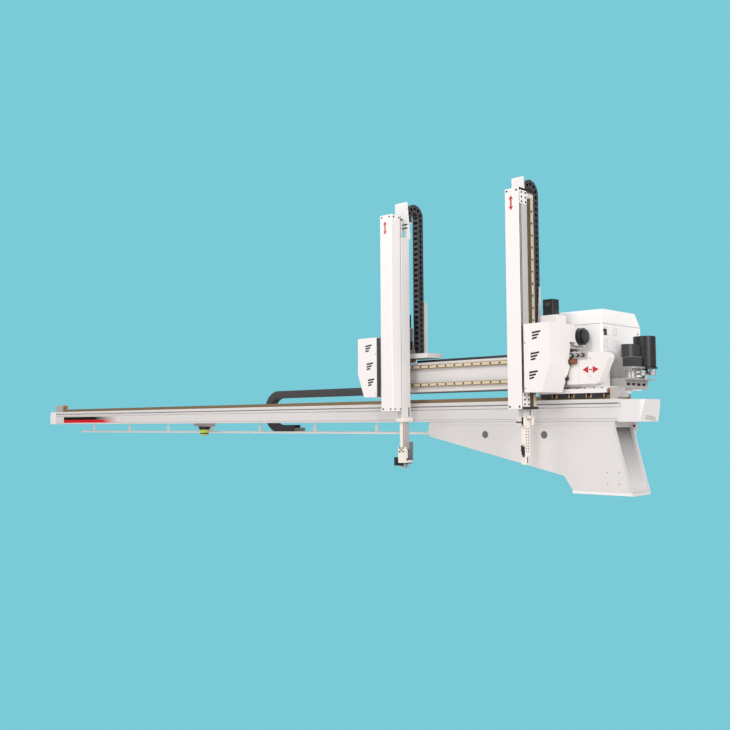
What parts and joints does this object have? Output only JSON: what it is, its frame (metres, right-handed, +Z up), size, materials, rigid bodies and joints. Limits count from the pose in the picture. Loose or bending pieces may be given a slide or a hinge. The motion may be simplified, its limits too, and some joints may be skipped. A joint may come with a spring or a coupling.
{
  "type": "gantry robot",
  "caption": "Linear take-out gantry robot: a cantilever pedestal carries a traverse beam, a travelling carriage with a second beam, and telescopic arms with a flip bar and a gripper.",
  "frame": {"origin": "centre of the pedestal's base bolt pattern, on the underside of the base", "axes": "+X along both beams towards the pedestal's near end, +Y away from the arms' side, +Z up"},
  "size_m": [5.612, 0.75, 1.59],
  "materials": {
    "white_paint": "satin",
    "white_plastic": "satin",
    "beam_alloy": "satin",
    "rail_steel": "satin",
    "block_steel": "satin",
    "dark_metal": "satin",
    "dark_plastic": "matte",
    "rubber": "matte",
    "grey_metal": "satin",
    "machined": "machined",
    "lens": "gloss"
  },
  "bodies": {
    "beam_frame": {"pedestal": "white_paint", "traverse_beam": "beam_alloy", "traverse_rails": "rail_steel", "drive_rack": "rail_steel", "left_end_cap": "white_paint", "right_end_cover": "white_plastic", "end_stops": "grey_metal", "stop_bumpers": "rubber", "chain_hangers": "white_paint", "beacon_base": "grey_metal", "beacon_lens": "lens", "traverse_chain_lower": "dark_plastic"},
    "carriage": {"carriage_plate": "white_paint", "guide_blocks": "block_steel", "carriage_bumper": "rubber", "kick_beam": "white_paint", "kick_rails": "rail_steel", "kick_end_cover": "white_plastic", "cable_duct": "dark_plastic", "control_cabinet": "white_paint", "motor_bracket": "grey_metal", "traverse_gearbox": "machined", "traverse_servo": "dark_metal", "air_reservoir": "dark_metal", "traverse_chain_upper": "dark_plastic"},
    "traverse_chain_loop": {"traverse_chain_bend": "dark_plastic"},
    "main_head": {"main_head_bracket": "white_paint", "main_head_blocks": "block_steel", "main_head_cover": "white_plastic", "main_head_motors": "dark_metal", "main_chain_head_run": "dark_plastic"},
    "main_arm": {"main_arm_beam": "beam_alloy", "main_arm_cover": "white_plastic", "main_arm_rail": "rail_steel", "main_arm_end_plates": "dark_metal", "main_pulley_blocks": "machined", "main_chain_bend": "dark_plastic"},
    "main_column": {"main_column": "beam_alloy", "main_top_bracket": "white_paint", "main_chain_arm_run": "dark_plastic", "main_wrist_flange": "machined"},
    "sub_head": {"sub_head_bracket": "white_paint", "sub_head_blocks": "block_steel", "sub_head_cover": "white_plastic", "sub_head_motors": "dark_metal", "sub_chain_head_run": "dark_plastic"},
    "sub_arm": {"sub_arm_beam": "beam_alloy", "sub_arm_cover": "white_plastic", "sub_arm_rail": "rail_steel", "sub_arm_end_plates": "dark_metal", "sub_pulley_blocks": "machined", "sub_chain_bend": "dark_plastic"},
    "sub_column": {"sub_column": "beam_alloy", "sub_top_bracket": "white_paint", "sub_chain_arm_run": "dark_plastic", "sub_wrist_flange": "machined", "gripper_body": "machined"},
    "flip_bar": {"flip_bar": "machined"},
    "finger_front": {"gripper_finger_front": "machined"},
    "finger_rear": {"gripper_finger_rear": "machined"}
  },
  "joints": [
    {"name": "traverse", "type": "slide", "parent": "beam_frame", "child": "carriage", "axis": [-1, 0, 0], "range_m": [0, 4.45], "deforming": ["traverse_chain_upper", "traverse_chain_lower"]},
    {"name": "traverse_chain_roll", "type": "slide", "parent": "beam_frame", "child": "traverse_chain_loop", "axis": [-1, 0, 0], "range_m": [0, 2.225]},
    {"name": "main_kick", "type": "slide", "parent": "carriage", "child": "main_head", "axis": [-1, 0, 0], "range_m": [0, 0.32]},
    {"name": "sub_kick", "type": "slide", "parent": "carriage", "child": "sub_head", "axis": [1, 0, 0], "range_m": [0, 0.28]},
    {"name": "main_lift", "type": "slide", "parent": "main_head", "child": "main_arm", "axis": [0, 0, -1], "range_m": [0, 0.65], "deforming": ["main_chain_head_run"]},
    {"name": "main_extend", "type": "slide", "parent": "main_arm", "child": "main_column", "axis": [0, 0, -1], "range_m": [0, 0.65], "deforming": ["main_chain_arm_run"]},
    {"name": "sub_lift", "type": "slide", "parent": "sub_head", "child": "sub_arm", "axis": [0, 0, -1], "range_m": [0, 0.65], "deforming": ["sub_chain_head_run"]},
    {"name": "sub_extend", "type": "slide", "parent": "sub_arm", "child": "sub_column", "axis": [0, 0, -1], "range_m": [0, 0.65], "deforming": ["sub_chain_arm_run"]},
    {"name": "wrist_flip", "type": "hinge", "parent": "main_column", "child": "flip_bar", "pos_m": [-0.354, -0.195, 0.348], "axis": [0, -1, 0], "range_deg": [0, 90]},
    {"name": "finger_front_grip", "type": "slide", "parent": "sub_column", "child": "finger_front", "axis": [0, 1, 0], "range_m": [0, 0.005]},
    {"name": "finger_rear_grip", "type": "slide", "parent": "sub_column", "child": "finger_rear", "axis": [0, -1, 0], "range_m": [0, 0.005]}
  ],
  "couplings": [
    {"joint": "traverse_chain_roll", "follows": "traverse", "ratio": 0.5},
    {"joint": "main_extend", "follows": "main_lift", "ratio": 1},
    {"joint": "sub_extend", "follows": "sub_lift", "ratio": 1},
    {"joint": "finger_rear_grip", "follows": "finger_front_grip", "ratio": 1}
  ]
}
